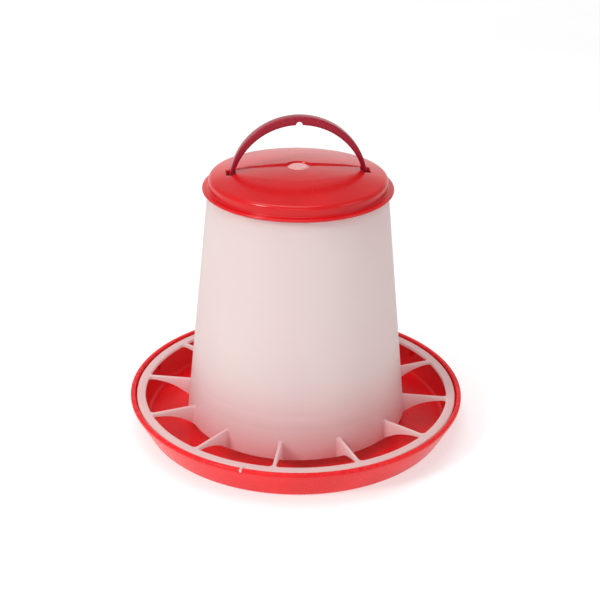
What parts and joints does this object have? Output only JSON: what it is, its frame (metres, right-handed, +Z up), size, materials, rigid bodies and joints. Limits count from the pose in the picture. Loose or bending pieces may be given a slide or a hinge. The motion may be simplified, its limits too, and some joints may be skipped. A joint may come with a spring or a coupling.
{
  "type": "poultry feeder",
  "caption": "Tapered hopper feeder for poultry: round pan, hopper with a finned feeding grid at its foot, domed lift-off lid and a bail handle",
  "frame": {"origin": "centre of the pan's underside, on the ground", "axes": "+Z up the axis of the pan and hopper; +X along the handle's hinge line; -Y is the front, the side the sunk field of the lid faces"},
  "size_m": [0.27, 0.27, 0.2552],
  "materials": {
    "pan_red": "satin moulded polypropylene",
    "hopper_white": "milky translucent polyethylene",
    "lid_red": "glossy moulded polypropylene",
    "handle_red": "satin moulded polypropylene"
  },
  "bodies": {
    "pan_body": {"pan": "pan_red"},
    "hopper_body": {"hopper_barrel": "hopper_white", "grid_ring": "hopper_white", "divider_fin_01": "hopper_white", "divider_fin_02": "hopper_white", "divider_fin_03": "hopper_white", "divider_fin_04": "hopper_white", "divider_fin_05": "hopper_white", "divider_fin_06": "hopper_white", "divider_fin_07": "hopper_white", "divider_fin_08": "hopper_white", "divider_fin_09": "hopper_white", "divider_fin_10": "hopper_white", "divider_fin_11": "hopper_white", "divider_fin_12": "hopper_white"},
    "lid_body": {"lid": "lid_red"},
    "handle_body": {"handle": "handle_red"}
  },
  "joints": [
    {"name": "hopper_lift", "type": "slide", "parent": "pan_body", "child": "hopper_body", "axis": [0, 0, 1], "range_m": [0, 0.12]},
    {"name": "lid_lift", "type": "slide", "parent": "hopper_body", "child": "lid_body", "axis": [0, 0, 1], "range_m": [0, 0.08]},
    {"name": "handle_swing", "type": "hinge", "parent": "lid_body", "child": "handle_body", "pos_m": [0, 0, 0.208], "axis": [1, 0, 0], "range_deg": [-30, 30]}
  ]
}
